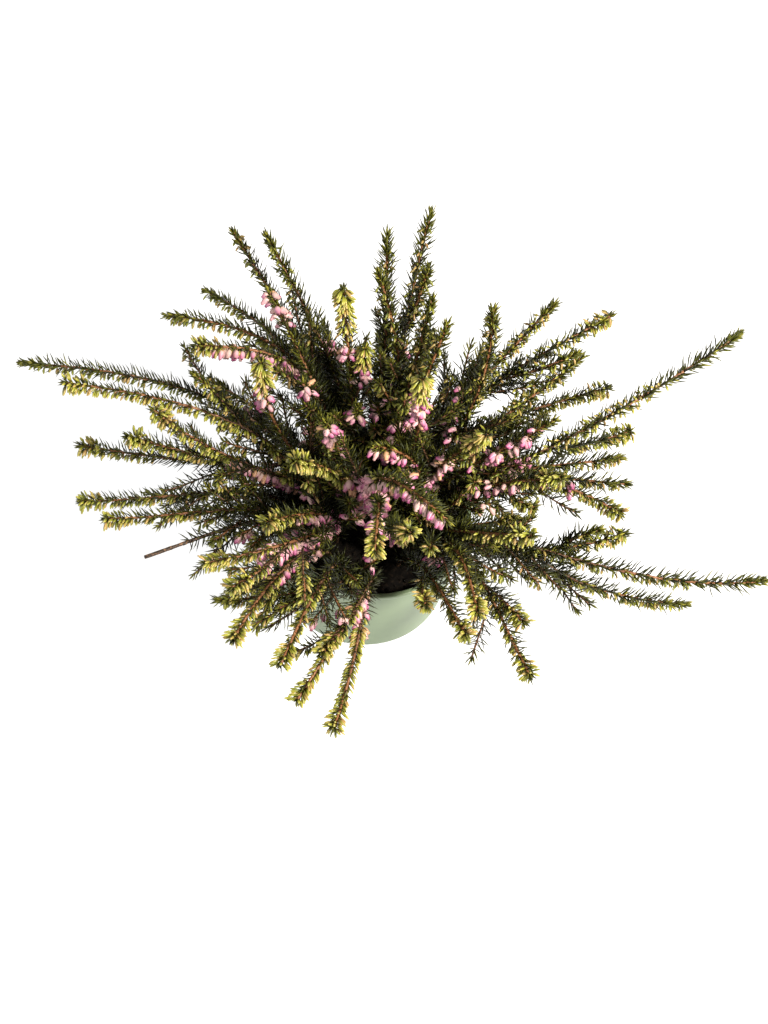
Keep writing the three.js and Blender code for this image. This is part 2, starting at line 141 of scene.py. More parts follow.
class Finish:  # a material and short ways to add its nodes
    def __init__(self, name, look):
        self.material = bpy.data.materials.new(name)
        self.material.use_nodes = True
        self.nodes = self.material.node_tree.nodes
        self.links = self.material.node_tree.links
        self.shader = self.nodes["Principled BSDF"]
        self.shader.inputs["Roughness"].default_value = look["roughness"]
        self.shader.inputs["Specular IOR Level"].default_value = look.get("specular", 0.5)

    def value(self, name):
        node = self.nodes.new("ShaderNodeAttribute")
        node.attribute_name = name
        return node.outputs["Fac"]

    def noise(self, scale, detail):
        node = self.nodes.new("ShaderNodeTexNoise")
        node.inputs["Scale"].default_value = scale
        node.inputs["Detail"].default_value = detail
        place = self.nodes.new("ShaderNodeTexCoord").outputs["Object"]
        self.links.new(place, node.inputs["Vector"])
        return node.outputs["Fac"]

    def ramp(self, amount, stops):  # stops are rows of (position, shade)
        node = self.nodes.new("ShaderNodeValToRGB")
        elements = node.color_ramp.elements
        while len(elements) < len(stops):
            elements.new(0.5)
        for element, (position, shade) in zip(elements, stops):
            element.position = position
            element.color = colour(shade)
        self.links.new(amount, node.inputs["Fac"])
        return node.outputs["Color"]

    def mix(self, amount, first, second):  # second is another output or a shade
        node = self.nodes.new("ShaderNodeMix")
        node.data_type = "RGBA"
        sockets = {socket.identifier: socket for socket in node.inputs}
        self.links.new(amount, sockets["Factor_Float"])
        self.links.new(first, sockets["A_Color"])
        if isinstance(second, tuple):
            sockets["B_Color"].default_value = colour(second)
        else:
            self.links.new(second, sockets["B_Color"])
        return next(socket for socket in node.outputs if socket.identifier == "Result_Color")

    def tint(self, base, amount, none, full, most, shade):
        node = self.nodes.new("ShaderNodeMapRange")
        for socket, number in (("From Min", none), ("From Max", full), ("To Min", 0), ("To Max", most)):
            node.inputs[socket].default_value = number
        self.links.new(amount, node.inputs["Value"])
        return self.mix(node.outputs["Result"], base, shade)

    def bump(self, height, strength, distance):
        node = self.nodes.new("ShaderNodeBump")
        node.inputs["Strength"].default_value = strength
        node.inputs["Distance"].default_value = distance
        self.links.new(height, node.inputs["Height"])
        self.links.new(node.outputs["Normal"], self.shader.inputs["Normal"])

    def paint(self, output):
        self.links.new(output, self.shader.inputs["Base Color"])
        return self.material


# A tint is a row of where there is none of it, where there is most, how much that is, and its shade. A noise
# is a row of scale and detail, and a relief one of strength and depth in metres.
needleLook = {
    "roughness": 0.4,
    "specular": 0.22,
    "byAge": ((0, (29, 27, 12)), (0.3, (44, 47, 15)), (0.6, (86, 88, 27)), (1, (164, 156, 58))),
    "deep": (0.4, 1, 0.5, (24, 36, 22)),  # some needles are a deeper green
    "root": (0.3, 0, 0.3, (112, 100, 46)),
}


def needleFinish():
    finish = Finish("needleLeaf", needleLook)
    shade = finish.ramp(finish.value("young"), needleLook["byAge"])
    shade = finish.tint(shade, finish.value("tone"), *needleLook["deep"])
    return finish.paint(finish.tint(shade, finish.value("along"), *needleLook["root"]))


barkLook = {
    "roughness": 0.55,
    "specular": 0.4,
    "byAge": ((0, (62, 48, 36)), (0.4, (78, 50, 33)), (1, (126, 81, 49))),
    "grain": (900, 2),
    "flakes": (0.5, 0.72, 0.5, (206, 152, 108)),
    "relief": (0.5, 0.0003),
}


def barkFinish():
    finish = Finish("heathBark", barkLook)
    shade = finish.ramp(finish.value("young"), barkLook["byAge"])
    grain = finish.noise(*barkLook["grain"])
    finish.bump(grain, *barkLook["relief"])
    return finish.paint(finish.tint(shade, grain, *barkLook["flakes"]))


budLook = {
    "roughness": 0.34,
    "ripe": (
        (0, (112, 70, 44)),
        (0.25, (88, 90, 30)),
        (0.5, (130, 132, 42)),
        (0.8, (172, 168, 62)),
        (1, (208, 196, 112)),
    ),
    "green": ((0, (74, 56, 32)), (0.4, (76, 86, 28)), (1, (118, 122, 44))),
    "tan": (0.55, 1, 0.6, (196, 146, 104)),  # some buds are more tan than green
}


def budFinish():
    finish = Finish("flowerBud", budLook)
    ripe = finish.ramp(finish.value("along"), budLook["ripe"])
    green = finish.ramp(finish.value("along"), budLook["green"])
    shade = finish.mix(finish.value("young"), green, ripe)
    return finish.paint(finish.tint(shade, finish.value("tone"), *budLook["tan"]))


bellLook = {
    "roughness": 0.42,
    "specular": 0.4,
    "pink": (
        (0, (150, 96, 78)),
        (0.25, (220, 186, 172)),
        (0.5, (208, 150, 168)),
        (0.8, (192, 110, 148)),
        (1, (148, 56, 100)),
    ),
    "pale": (0.3, 0.9, 0.75, (218, 186, 168)),
    "withered": (0.93, 0.95, 0.8, (196, 146, 98)),  # a few bells
}


def bellFinish():
    finish = Finish("bellPetal", bellLook)
    shade = finish.ramp(finish.value("along"), bellLook["pink"])
    shade = finish.tint(shade, finish.value("tone"), *bellLook["pale"])
    return finish.paint(finish.tint(shade, finish.value("tone"), *bellLook["withered"]))


antherLook = {"roughness": 0.5, "byTone": ((0, (70, 26, 34)), (1, (110, 44, 44)))}


def antherFinish():
    finish = Finish("darkAnther", antherLook)
    return finish.paint(finish.ramp(finish.value("tone"), antherLook["byTone"]))


potLook = {
    "roughness": 0.42,
    "cloud": (60, 4),
    "wall": ((0.3, (111, 128, 97)), (0.7, (118, 135, 102))),
    "speck": (520, 2),
    "specks": (0.7, 0.76, 0.3, (104, 110, 80)),
    "grain": (1500, 2),
    "relief": (0.08, 0.0002),
}


def potFinish():
    finish = Finish("sageGreenPlastic", potLook)
    wall = finish.ramp(finish.noise(*potLook["cloud"]), potLook["wall"])
    finish.bump(finish.noise(*potLook["grain"]), *potLook["relief"])
    return finish.paint(finish.tint(wall, finish.noise(*potLook["speck"]), *potLook["specks"]))


# The peat's colours are its own dark brown made darker still: painted shade of the foliage above is mixed
# into them
peatLook = {
    "roughness": 0.95,
    "specular": 0.2,
    "crumbs": (420, 6),
    "peatColoursWithShade": ((0.3, (12, 10, 8)), (0.55, (25, 20, 15)), (0.75, (50, 39, 29))),
    "relief": (0.9, 0.0012),
}


def peatFinish():
    finish = Finish("peatDarkenedAsShade", peatLook)
    crumbs = finish.noise(*peatLook["crumbs"])
    finish.bump(crumbs, *peatLook["relief"])
    return finish.paint(finish.ramp(crumbs, peatLook["peatColoursWithShade"]))


def floorFinish():
    finish = Finish("paleFloor", {"roughness": studio["floorRoughness"]})
    finish.shader.inputs["Base Color"].default_value = (*studio["floorColour"], 1)
    finish.shader.inputs["Emission Color"].default_value = (1, 1, 1, 1)
    finish.shader.inputs["Emission Strength"].default_value = studio["floorGlow"]
    return finish.material


needleLeaf = needleFinish()
heathBark = barkFinish()
flowerBud = budFinish()
bellPetal = bellFinish()
darkAnther = antherFinish()
print("finishes mixed")


# Meshes are gathered as rows of points and triangles, in millimetres
def roundForm(profile, sides):
    # a closed form round the z axis from rows of (height, radius); a radius of 0 closes an end
    points = []
    faces = []
    rings = []
    for height, radius in profile:
        first = len(points)
        if radius == 0:
            points.append((0, 0, height))
            rings.append([first])
            continue
        for n in range(sides):
            angle = 2 * math.pi * n / sides
            points.append((radius * math.cos(angle), radius * math.sin(angle), height))
        rings.append(list(range(first, first + sides)))
    for low, high in zip(rings, rings[1:]):
        for n in range(sides):
            m = (n + 1) % sides
            if len(low) > 1 and len(high) > 1:
                faces += [(low[n], low[m], high[m]), (low[n], high[m], high[n])]
            elif len(low) > 1:
                faces.append((low[n], low[m], high[0]))
            else:
                faces.append((low[0], high[m], high[n]))
    return {"points": np.array(points, float), "faces": np.array(faces)}


def bladeForm(widths, keel):
    # a three-sided blade along z: flat above, keeled below, with its root closed and its end a point
    profile = [(-1, 0.35), (1, 0.35), (0, -keel)]
    points = []
    for height, width in widths[:-1]:
        points += [(x * width, y * width, height) for x, y in profile]
    points.append((0, 0, widths[-1][0]))
    faces = [(0, 1, 2)]
    for ring in range(len(widths) - 2):
        low, high = ring * 3, ring * 3 + 3
        for n in range(3):
            m = (n + 1) % 3
            faces += [(low + n, high + n, high + m), (low + n, high + m, low + m)]
    last = (len(widths) - 2) * 3
    faces += [(last + n, len(points) - 1, last + (n + 1) % 3) for n in range(3)]
    return {"points": np.array(points, float), "faces": np.array(faces)}


def unit(rows):
    return rows / np.maximum(np.linalg.norm(rows, axis=-1, keepdims=True), 1e-9)


def between(first, second, angle):  # turned by an angle from the first way to the second
    return first * np.cos(angle)[..., None] + second * np.sin(angle)[..., None]


def sizeRows(width, depth, length):
    return np.stack(np.broadcast_arrays(width, depth, length), 1)


class Growth:  # the mesh of one piece, gathered a batch at a time
    def __init__(self, *finishes):
        self.finishes = finishes
        self.points = []
        self.faces = []
        self.slots = []
        self.values = {"tone": [], "young": [], "along": []}
        self.count = 0

    def add(self, points, faces, finish, **values):
        self.points.append(points)
        self.faces.append(faces + self.count)
        self.slots.append(np.full(len(faces), self.finishes.index(finish)))
        for name, held in self.values.items():
            held.append(np.broadcast_to(values.get(name, 0.5), len(points)))
        self.count += len(points)

    def copies(self, form, roots, ways, faces, sizes, bend, finish, tone, young):
        # stands a copy of the form on each root: z along its way, y towards its face, bent as it rises
        ways = unit(ways)
        across = unit(np.cross(faces, ways))
        normal = np.cross(ways, across)
        shape = form["points"]
        width, depth, length = np.moveaxis(np.broadcast_to(sizes, (len(roots), 3)), 1, 0)
        height = shape[:, 2][None, :]
        aside = shape[:, 0][None, :] * width[:, None]
        curl = np.broadcast_to(bend, len(roots))[:, None] * height ** 2 * length[:, None]
        out = shape[:, 1][None, :] * depth[:, None] + curl
        points = roots[:, None, :] + across[:, None, :] * aside[..., None]
        points = points + normal[:, None, :] * out[..., None]
        points = points + ways[:, None, :] * (height * length[:, None])[..., None]
        n = len(shape)
        numbers = form["faces"][None] + (np.arange(len(roots)) * n)[:, None, None]
        self.add(
            points.reshape(-1, 3), numbers.reshape(-1, 3), finish,
            tone=np.repeat(np.broadcast_to(tone, len(roots)), n),
            young=np.repeat(np.broadcast_to(young, len(roots)), n),
            along=np.clip(np.tile(shape[:, 2], len(roots)), 0, 1),
        )

    def tube(self, centres, sides, tops, radii, corners, finish, young):
        # a closed tube along rows of centres
        angle = np.arange(corners) * 2 * math.pi / corners
        ring = between(sides[:, None, :], tops[:, None, :], angle[None, :])
        points = (centres[:, None, :] + ring * radii[:, None, None]).reshape(-1, 3)
        points = np.concatenate([points, centres[:1], centres[-1:]])
        starts = (np.arange(len(centres) - 1) * corners)[:, None]
        low = starts + np.arange(corners)[None, :]
        beside = starts + (np.arange(corners) + 1)[None, :] % corners
        bands = np.concatenate([
            np.stack([low, beside, beside + corners], -1).reshape(-1, 3),
            np.stack([low, beside + corners, low + corners], -1).reshape(-1, 3),
        ])
        first, last = len(points) - 2, len(points) - 1
        end = (len(centres) - 1) * corners
        caps = [(first, (n + 1) % corners, n) for n in range(corners)]
        caps += [(last, end + n, end + (n + 1) % corners) for n in range(corners)]
        share = np.linspace(0, 1, len(centres))
        along = np.concatenate([np.repeat(share, corners), [0, 1]])
        ages = np.concatenate([np.repeat(young, corners), young[:1], young[-1:]])
        self.add(points, np.concatenate([bands, np.array(caps)]), finish, young=ages, along=along)

    def piece(self, name, slot, *nodes):
        points = np.concatenate(self.points) * mm
        mesh = bpy.data.meshes.new(name)
        mesh.from_pydata(points, [], np.concatenate(self.faces))
        for label, held in self.values.items():
            layer = mesh.attributes.new(label, "FLOAT", "POINT")
            layer.data.foreach_set("value", np.concatenate(held).astype(np.float32))
        for finish in self.finishes:
            mesh.materials.append(finish)
        mesh.polygons.foreach_set("material_index", np.concatenate(self.slots).astype(np.int32))
        mesh.polygons.foreach_set("use_smooth", np.ones(len(mesh.polygons), bool))
        mesh.update()
        made = bpy.data.objects.new(name, mesh)
        bpy.context.scene.collection.objects.link(made)
        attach(made, "root")
        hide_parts(*nodes)


def layFloor():
    half = studio["floorSize"] / 2
    corners = [(-half, -half, 0), (half, -half, 0), (half, half, 0), (-half, half, 0)]
    mesh = bpy.data.meshes.new("studioFloor")
    mesh.from_pydata(corners, [], [(0, 1, 2, 3)])
    mesh.materials.append(floorFinish())
    floor = bpy.data.objects.new("studioFloor", mesh)
    bpy.context.scene.collection.objects.link(floor)


layFloor()
print("floor laid")

# Pot: a turned wall with a rolled lip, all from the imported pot's height and rim
pot = {
    "segments": 128,
    "wall": 2.2,
    "floor": 3.0,
    "cornerIn": 1,  # where the inside meets the floor
    "baseInset": 6.0,  # from the rim's radius to the foot's
    "footHollow": 1.2,
    "footRing": ((9, 1.2), (7, 0.3), (5.5, 0)),  # in from the foot's edge, height
    "footRound": 2,
    "wallFrom": 6,
    "wallRings": 10,
    "lipHeight": 4.0,
    "lipOut": 1.0,
    "wallBelowLip": 3,
    "grooveDepth": 0.7,
    "groove": ((0.3, -1.6), (0.9, -0.9), (1, -0.3)),  # share of its depth, height from the lip
    "lipFace": ((-0.5, 0.25), (-0.1, 0.7), (0, 1.4)),  # out from the rim, height from the lip
    "lipFaceTop": 1.2,
    "lipRound": 1,
    "lipRoundFrom": 0.2,  # radians
    "crestLess": 0.6,
    "lipInside": ((0.2, 0), (-0.35, -0.3), (-0.6, -1)),  # out from the crest, height from the top
    "insideFrom": 3,
    "insideRings": 12,
}


def buildPot():
    height = potHigh[2]
    rim = potHigh[0]
    foot = rim - pot["baseInset"]
    wallTop = rim - pot["lipOut"]
    lipLow = height - pot["lipHeight"]
    quarter = math.pi / 2

    def taper(z):
        return foot + (wallTop - foot) * z / height

    corner = pot["footRound"]
    outer = [(0, pot["footHollow"])]
    outer += [(foot - inward, z) for inward, z in pot["footRing"]]
    outer += [(foot - corner + corner * math.sin(a), corner - corner * math.cos(a))
              for a in np.linspace(0, quarter, 6)]
    wallHeights = np.linspace(pot["wallFrom"], lipLow - pot["wallBelowLip"], pot["wallRings"])
    outer += [(taper(z), z) for z in wallHeights]
    outer += [(taper(lipLow) - pot["grooveDepth"] * depth, lipLow + z) for depth, z in pot["groove"]]
    lip = [(rim + out, lipLow + z) for out, z in pot["lipFace"]]
    lip += [(rim, height - pot["lipFaceTop"])]
    corner = pot["lipRound"]
    lip += [(rim - corner + corner * math.cos(a), height - corner + corner * math.sin(a))
            for a in np.linspace(pot["lipRoundFrom"], quarter, 5)]
    crest = rim - (pot["wall"] + pot["lipOut"] - pot["crestLess"])
    lip += [(crest + out, height + z) for out, z in pot["lipInside"]]
    insideLow = pot["floor"] + pot["cornerIn"]
    insideHeights = np.linspace(height - pot["insideFrom"], insideLow, pot["insideRings"])
    inner = [(taper(z) - pot["wall"], z) for z in insideHeights]
    inner += [(taper(0) - pot["wall"] - pot["cornerIn"], pot["floor"]), (0, pot["floor"])]
    form = roundForm([(z, radius) for radius, z in outer + lip + inner], pot["segments"])
    plastic = potFinish()
    growth = Growth(plastic)
    growth.add(form["points"], form["faces"], plastic)
    growth.piece("sagePot", "pot", "pot")


buildPot()
print("pot turned")

# Soil: a rough peat surface with loose crumbs on it
soil = {
    "rings": 44,
    "spokes": 120,
    "footInset": 4,
    "waves": 24,
    "finestWave": 3.0,
    "coarsest": 7,  # times the finest wave
    "roughness": 1.5,
    "edgeDip": 1.6,
    "rise": 0.5,
    "crumbs": 420,
    "crumbSize": (0.7, 2.1),
    "crumbFlatness": (0.6, 1),
    "crumbSpread": 0.93,  # share of the surface that they lie on
    "crumbLift": 0.3,
    "seed": 11,
}


def lumps(x, y, rng):
    # a sum of seeded waves, between about -1 and 1
    total = np.zeros_like(x)
    for _ in range(soil["waves"]):
        length = rng.uniform(soil["finestWave"], soil["finestWave"] * soil["coarsest"])
        angle = rng.uniform(0, math.pi)
        phase = rng.uniform(0, 2 * math.pi)
        total += np.sin((x * math.cos(angle) + y * math.sin(angle)) * 2 * math.pi / length + phase)
    return total / math.sqrt(soil["waves"] * 2)


def buildSoil():
    rng = np.random.default_rng(soil["seed"])
    radius = soilHigh[0]
    bottom = soilLow[2]
    profile = [(bottom, 0), (bottom, radius - soil["footInset"]), (soilLevel - 1, radius)]
    profile += [(soilLevel, radius * (1 - n / soil["rings"])) for n in range(soil["rings"])]
    profile += [(soilLevel, 0)]
    form = roundForm(profile, soil["spokes"])
    points = form["points"]
    top = points[:, 2] > soilLevel - 0.5
    x, y = points[top, 0], points[top, 1]
    away = np.hypot(x, y) / radius
    rough = lumps(x, y, rng) * soil["roughness"]
    points[top, 2] += rough * (1 - away ** 6) - soil["edgeDip"] * away ** 3 + soil["rise"]
    peat = peatFinish()
    growth = Growth(peat)
    growth.add(points, form["faces"], peat)
    crumb = roundForm([(-1, 0), (-0.5, 0.8), (0.3, 1), (1, 0)], 6)
    count = soil["crumbs"]
    spread = radius * np.sqrt(rng.uniform(0, soil["crumbSpread"], count))
    heading = rng.uniform(0, 2 * math.pi, count)
    height = np.full(count, soilLevel + soil["crumbLift"])
    roots = np.stack([spread * np.cos(heading), spread * np.sin(heading), height], 1)
    size = rng.uniform(*soil["crumbSize"], (count, 1)) * rng.uniform(*soil["crumbFlatness"], (count, 3))
    ways = rng.normal(size=(count, 3))
    faces = rng.normal(size=(count, 3))
    growth.copies(crumb, roots, ways, faces, size, 0, peat, 0.5, 0.5)
    growth.piece("peatSoil", "soil", "soil")


buildSoil()
print("soil filled")

# Shoots. Each row: heading (degrees from +X), lean from upright, reach of its tip from the middle of the
# soil (mm), droop of its end (degrees), sideways bow (mm), turn of its foot (degrees), where its bells hang,
# as shares of its length, and how many at each step, and the same for its buds.
shootPlan = [
    # left
    (176, 72, 226, 20, -16, 0, None, (0.4, 0.97, 1.2)),
    (-177, 62, 205, 22, -8, 0, None, (0.25, 0.98, 3)),
    (-173, 53, 163, -6, 13, -10, (0.25, 0.62, 3.2), (0.5, 0.98, 2.6)),
    (-176, 78, 180, 8, 2, 0, (0.25, 0.4, 2), (0.7, 0.98, 2)),
    (163, 53, 177, 29, -36, -4, None, (0.6, 0.98, 1.6)),
    (146, 61, 168, 22, -20, 0, (0.45, 0.58, 2), (0.8, 0.98, 1.2)),
    (171, 45, 163, 37, -35, -4, (0.48, 0.93, 3), (0.55, 0.98, 2)),
    (139, 49, 191, 4, -6, 0, None, (0.85, 0.98, 1.2)),
    (136, 41, 186, 4, -8, -4, None, (0.7, 0.98, 1)),
    (149, 33, 168, 2, 0, 0, (0.86, 1, 3.6), None),
    (175, 29, 152, -24, 16, 0, (0.77, 0.89, 4.2), (0.87, 1, 4.5)),
    (-166, 82, 175, 6, 0, 0, None, (0.38, 0.98, 2.2)),
    (-158, 75, 165, 8, 4, 0, None, (0.6, 0.98, 2.2)),
    (-147, 74, 150, 6, -5, 0, None, None),
    # front
    (-130, 56, 152, 47, 30, -29, (0.22, 0.8, 5.5), (0.66, 0.98, 3.4)),
    (-116, 69, 146, 14, -11, 2, (0.25, 0.6, 3.4), (0.55, 0.99, 3.8)),
    (-104, 71, 140, 10, -4, 0, None, (0.35, 0.98, 3.4)),
    (-98, 77, 147, 17, 10, 15, (0.3, 0.5, 2), (0.4, 0.99, 3.8)),
    (-89, 79, 155, -10, 7, -1, (0.1, 0.5, 2), (0.4, 0.99, 3.8)),
    (-56, 63, 129, 6, 3, 2, None, (0.5, 0.98, 2)),
    (-54, 55, 139, 25, 17, 9, None, (0.4, 0.99, 2.8)),
    (-45, 74, 153, -5, 14, 19, None, (0.35, 0.98, 2.2)),
    (-86, 37, 150, 61, -1, 1, (0.45, 0.9, 3), (0.84, 1, 2.6)),
    (-62, 31, 166, 63, -33, 18, (0.35, 0.98, 2.4), (0.6, 0.9, 1)),
    (-71, 33, 130, 0, -3, 0, (0.35, 0.55, 2), (0.88, 0.99, 2.4)),
    (-129, 73, 125, 4, 24, 32, None, (0.55, 0.95, 1.4)),
    (-127, 43, 132, 18, 3, -1, (0.3, 0.75, 3.2), (0.6, 0.98, 2)),
    # right
    (-6, 76, 236, -6, -22, 0, None, (0.3, 0.8, 1.4)),
    (-9, 83, 195, -9, -13, -3, None, (0.25, 0.98, 1.8)),
    (-5, 67, 158, -12, -22, -7, None, (0.3, 0.98, 2.2)),
    (-28, 46, 140, 2, -8, 0, None, (0.6, 0.99, 2.8)),
    (6, 77, 151, 15, 25, 0, (0.42, 0.75, 1.6), (0.6, 0.98, 2.2)),
    (17, 70, 155, 6, 2, 0, (0.35, 0.5, 2), (0.6, 0.98, 1.5)),
    (26, 58, 243, 20, -32, -5, (0.25, 0.42, 2), (0.3, 0.78, 2.2)),
    (33, 66, 163, 10, 10, 2, None, (0.35, 0.98, 2.5)),
    (38, 55, 160, 0, -3, -1, None, (0.4, 0.95, 2.3)),
    (44, 60, 188, 4, 12, 4, None, (0.4, 0.98, 2.2)),
    (51, 49, 170, 2, 2, 0, (0.3, 0.45, 2), (0.4, 0.96, 2.3)),
    (55, 28, 163, -18, -23, 1, (0.35, 0.5, 1.2), (0.45, 0.97, 1.3)),
    (64, 18, 155, 2, 0, -6, (0.45, 0.7, 1.6), (0.6, 0.97, 1.4)),
    # back and middle
    (80, 21, 160, 4, -2, 4, None, (0.5, 0.98, 1.5)),
    (90, 37, 190, 2, 3, 0, (0.35, 0.5, 1.2), (0.4, 0.97, 1.2)),
    (103, 32, 180, 4, -3, 0, None, (0.4, 0.97, 0.9)),
    (109, 23, 169, -2, -20, -1, (0.4, 0.55, 1), (0.5, 0.97, 1.4)),
    (128, 22, 166, 0, 3, 6, (0.72, 0.8, 1.4), (0.82, 1, 4)),
    (16, 5, 151, -12, -11, -1, (0.76, 0.89, 4.2), (0.87, 1, 4.5)),
    (-10, 23, 140, 2, 3, 0, (0.35, 0.7, 2), (0.84, 1, 3.5)),
    (-104, 12, 119, 36, 34, 0, (0.8, 1, 2.4), None),
    (-136, 28, 135, 24, 7, 0, None, (0.55, 0.98, 3)),
    (-145, 17, 136, 0, 0, 0, (0.72, 0.97, 2.4), None),
    (9, 37, 150, -2, -2, -1, (0.55, 0.93, 1.6), (0.3, 0.6, 1.5)),
    (-4, 46, 140, 4, 3, 0, (0.4, 0.74, 1.5), (0.7, 0.98, 2)),
    # low at the back
    (64, 71, 122, 8, 3, 0, (0.4, 0.55, 2), (0.85, 0.99, 2)),
    (82, 62, 120, 10, 0, 0, (0.45, 0.6, 2), (0.6, 0.98, 2)),
    (99, 73, 118, 8, -3, 0, None, (0.75, 0.98, 1.2)),
    (118, 64, 122, 8, 3, 0, (0.6, 0.78, 2), None),
    (134, 76, 125, 8, 0, 0, None, (0.75, 0.98, 2.4)),
    (154, 76, 128, 8, -3, 0, (0.6, 0.75, 2), (0.75, 0.95, 1.5)),
]

# Side shoots: parent's number, share of the way along it, then heading, lean and reach of the tip, bells
# and buds
sideShootPlan = [
    (3, 0.5, -170, 61, 165, None, (0.3, 0.98, 2.2)),
    (2, 0.45, 174, 49, 150, None, (0.3, 0.95, 3)),
    (15, 0.68, -119, 53, 164, (0.1, 0.5, 3), (0.4, 0.98, 2.8)),
    (18, 0.5, -96, 72, 120, None, (0.3, 0.99, 3)),
    (20, 0.45, -64, 58, 107, None, (0.3, 0.99, 3.4)),
    (22, 0.5, -37, 71, 128, None, (0.25, 0.98, 2)),
    (30, 0.7, -10, 60, 150, None, (0.5, 0.95, 1)),
    (32, 0.5, 11, 72, 155, (0.3, 0.5, 2), (0.5, 0.98, 1.2)),
    (34, 0.45, 20, 65, 165, None, (0.3, 0.99, 2.4)),
    (37, 0.55, 38, 52, 160, None, (0.3, 0.98, 1.8)),
    (42, 0.6, 86, 24, 173, None, (0.4, 0.98, 1.1)),
    (45, 0.5, 120, 19, 129, (0.45, 0.7, 2.4), (0.7, 1, 3.6)),
    (45, 0.42, 148, 13, 101, (0.5, 0.98, 2.4), None),
    # small ones that fill gaps, too small for solids of their own
    (32, 0.35, 6, 72, 101, None, (0.3, 0.98, 2)),
    (32, 0.3, 3, 80, 94, None, (0.3, 0.98, 2)),
    (31, 0.4, -3, 66, 92, None, (0.3, 0.98, 2)),
]

# The three kinds of shoot: radius at the foot, what stays leafless there in mm and as a share of the length,
# how fresh the needles are, from whorl to whorl, and the stem's rings and corners
arms = {
    "main": {
        "radius": 1.3, "bare": 0, "bareShare": 0.06, "freshness": 0.15, "whorlStep": 1.9, "ringStep": 2.6,
        "corners": 6,
    },
    "side": {
        "radius": 0.8, "bare": 3, "bareShare": 0, "freshness": 0.15, "whorlStep": 1.9, "ringStep": 2.6,
        "corners": 6,
    },
    "twig": {
        "radius": 0.6, "bare": 2, "bareShare": 0, "freshness": 0.1, "whorlStep": 2.7, "ringStep": 4,
        "corners": 4,
    },
}

stem = {
    "seed": 999,
    "clumpRadius": 43,
    "clumpPower": 0.7,
    "widestLean": 80,
    "startHeight": 1.5,
    "startLeanShare": 0.2,
    "pull": 0.42,
    "sideTurn": 0.7,  # how much a side shoot turns off its parent
    "sideAway": 0.12,
    "sideStart": 0.2,
    "sideEnd": 0.3,
    "pathPoints": 241,
    "footDepth": 6,
    "footFlare": 1.15,
    "endShort": 1.5,  # the wood ends this far before its path
    "fewestRings": 4,
    "middleAt": 0.35,
    "leafy": (0.95, 0.75),  # radius in the middle and at the end
    "woody": (1.7, 1.15),
    "knobs": (0.86, 1.14),
    "youngZone": (0.25, 0.8),
    "flowerless": 0.4,  # how young the bark gets without flowers
    "woodyNumber": 14,  # an old shoot whose end is bare wood
    "woodyLeafy": 0.76,
}


def headingVector(heading, lean):
    h = math.radians(heading)
    a = math.radians(lean)
    return np.array([math.cos(h) * math.sin(a), math.sin(h) * math.sin(a), math.cos(a)])


def tipOf(heading, lean, reach):
    return headingVector(heading, lean) * reach + up * soilLevel


def sideOf(heading):
    h = math.radians(heading)
    return np.array([-math.sin(h), math.cos(h), 0.0])


def smooth(values, low, high):
    t = np.clip((values - low) / (high - low), 0, 1)
    return t * t * (3 - 2 * t)


class Path:  # a curve through four corner points, with frames at any distance along it
    def __init__(self, corners, side):
        t = np.linspace(0, 1, stem["pathPoints"])[:, None]
        a, b, c, d = corners
        self.points = (1 - t) ** 3 * a + 3 * (1 - t) ** 2 * t * b + 3 * (1 - t) * t * t * c + t ** 3 * d
        self.ahead = unit(np.gradient(self.points, axis=0))
        steps = np.linalg.norm(np.diff(self.points, axis=0), axis=1)
        self.marks = np.concatenate([[0], np.cumsum(steps)])
        self.length = self.marks[-1]
        self.side = side

    def at(self, distances):
        distances = np.atleast_1d(distances)
        centre = np.stack([np.interp(distances, self.marks, self.points[:, k]) for k in range(3)], -1)
        ahead = unit(np.stack([np.interp(distances, self.marks, self.ahead[:, k]) for k in range(3)], -1))
        side = unit(self.side - ahead * (ahead @ self.side)[:, None])
        return centre, ahead, side, np.cross(ahead, side)


def mainPath(row):
    heading, lean, reach, droop, bow, footTurn = row[:6]
    radius = stem["clumpRadius"] * (lean / stem["widestLean"]) ** stem["clumpPower"]
    start = headingVector(heading + footTurn, 90) * radius
    start[2] = soilLevel + stem["startHeight"]
    tip = tipOf(heading, lean, reach)
    pull = np.linalg.norm(tip - start) * stem["pull"]
    side = sideOf(heading)
    first = start + headingVector(heading, lean * stem["startLeanShare"]) * pull + side * bow
    last = tip - headingVector(heading, lean + droop) * pull + side * bow
    return Path((start, first, last, tip), side)


def sidePath(row, parent):
    _, share, heading, lean, reach = row[:5]
    centre, ahead, _, _ = parent.at(share * parent.length)
    start, ahead = centre[0], ahead[0]
    tip = tipOf(heading, lean, reach)
    span = np.linalg.norm(tip - start)
    straight = (tip - start) / span
    away = unit(straight - ahead * stem["sideTurn"])
    first = start + away * span * stem["sideAway"] + straight * span * stem["sideStart"]
    last = tip - unit(straight + ahead) * span * stem["sideEnd"]
    return Path((start, first, last, tip), sideOf(heading))


def growStem(growth, path, arm, rng, flush, isMain, isWoody):
    rings = max(stem["fewestRings"], int(path.length / arm["ringStep"]))
    distances = np.linspace(0, path.length - stem["endShort"], rings)
    centre, _, side, top = path.at(distances)
    share = distances / path.length
    start = arm["radius"]
    middle, end = stem["woody" if isWoody else "leafy"]
    radii = np.interp(share, (0, stem["middleAt"], 1), (start, min(middle, start), min(end, start)))
    radii = radii * rng.uniform(*stem["knobs"], len(radii))
    young = np.zeros(len(share)) if isWoody else smooth(share, *stem["youngZone"]) * flush
    if isMain:
        centre = np.concatenate([centre[:1] - up * stem["footDepth"], centre])
        side = np.concatenate([side[:1], side])
        top = np.concatenate([np.cross(up, side[0])[None], top])
        radii = np.concatenate([radii[:1] * stem["footFlare"], radii])
        young = np.concatenate([[0], young])
    growth.tube(centre, side, top, radii, arm["corners"], heathBark, young)


